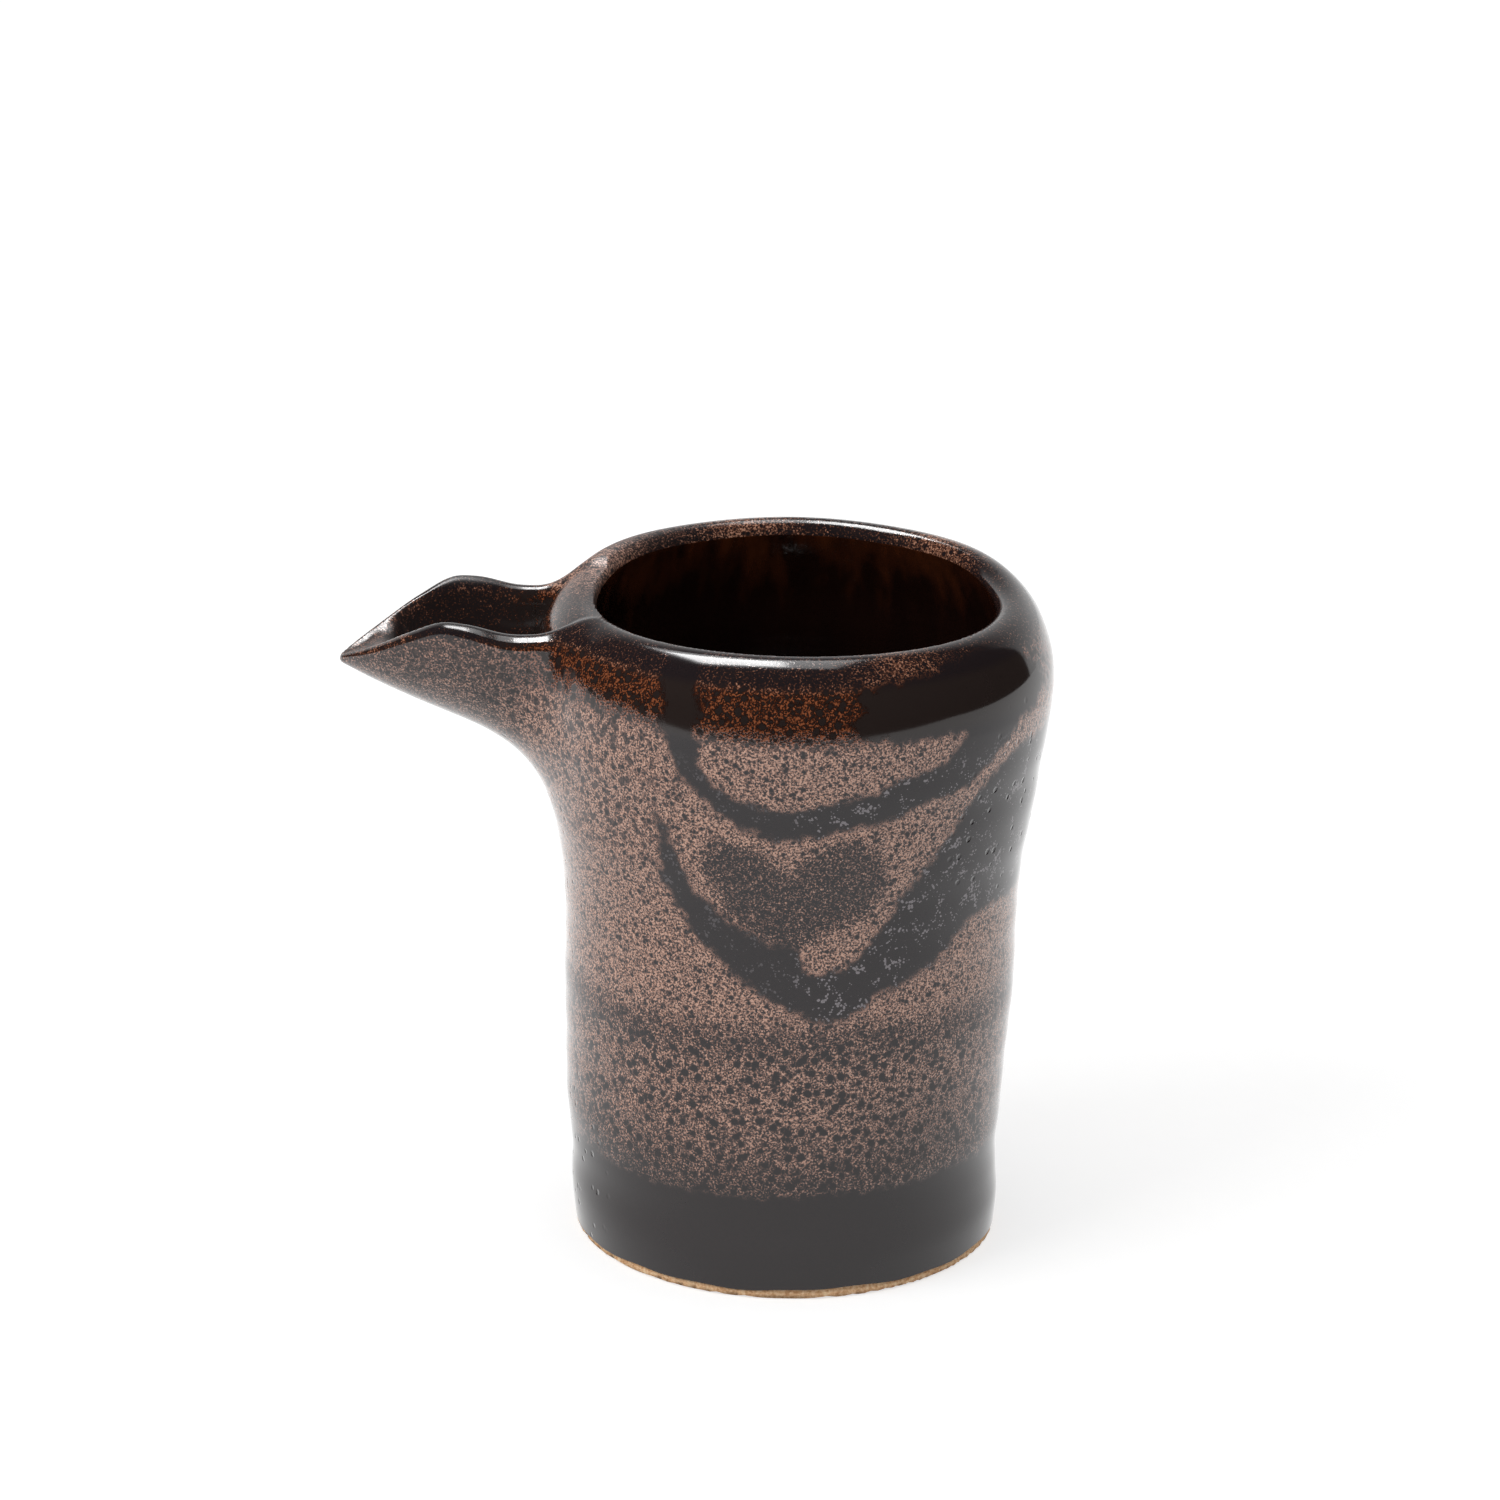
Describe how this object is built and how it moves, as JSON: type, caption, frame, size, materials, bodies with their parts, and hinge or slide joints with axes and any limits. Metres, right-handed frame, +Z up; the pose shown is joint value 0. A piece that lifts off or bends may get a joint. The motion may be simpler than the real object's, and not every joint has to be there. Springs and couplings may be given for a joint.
{
  "type": "sake server",
  "caption": "Open-mouthed stoneware sake server with a rolled-in lip and an open pouring trough on its shoulder, in dark and rust iron glazes.",
  "frame": {"origin": "centre of the flat foot, on the surface that the server stands on", "axes": "+Z up along the axis of the thrown cup, the pouring trough points along -X, +Y away from the viewer of the decorated side"},
  "size_m": [0.1124, 0.0818, 0.106],
  "materials": {
    "bare_clay": "bare fired stoneware clay, matt and slightly gritty, warm tan",
    "dark_glaze": "iron-black stoneware glaze, glossy, pooled smooth",
    "liner_glaze": "iron-black stoneware glaze poured inside, glossy, rusty where it thins",
    "spout_glaze": "iron-black stoneware glaze with rust mottling, glossy",
    "rust_glaze": "rust-brown iron glaze with fine dark speckle, satin gloss"
  },
  "bodies": {
    "root": {"stoneware_body": "bare_clay", "stoneware_spout": "bare_clay", "spout_luting_coil": "bare_clay", "outer_base_glaze": "dark_glaze", "liner_glaze": "liner_glaze", "spout_glaze": "spout_glaze", "rust_overglaze": "rust_glaze", "upper_glaze_sweep": "dark_glaze", "lower_glaze_sweep": "dark_glaze"}
  },
  "joints": []
}
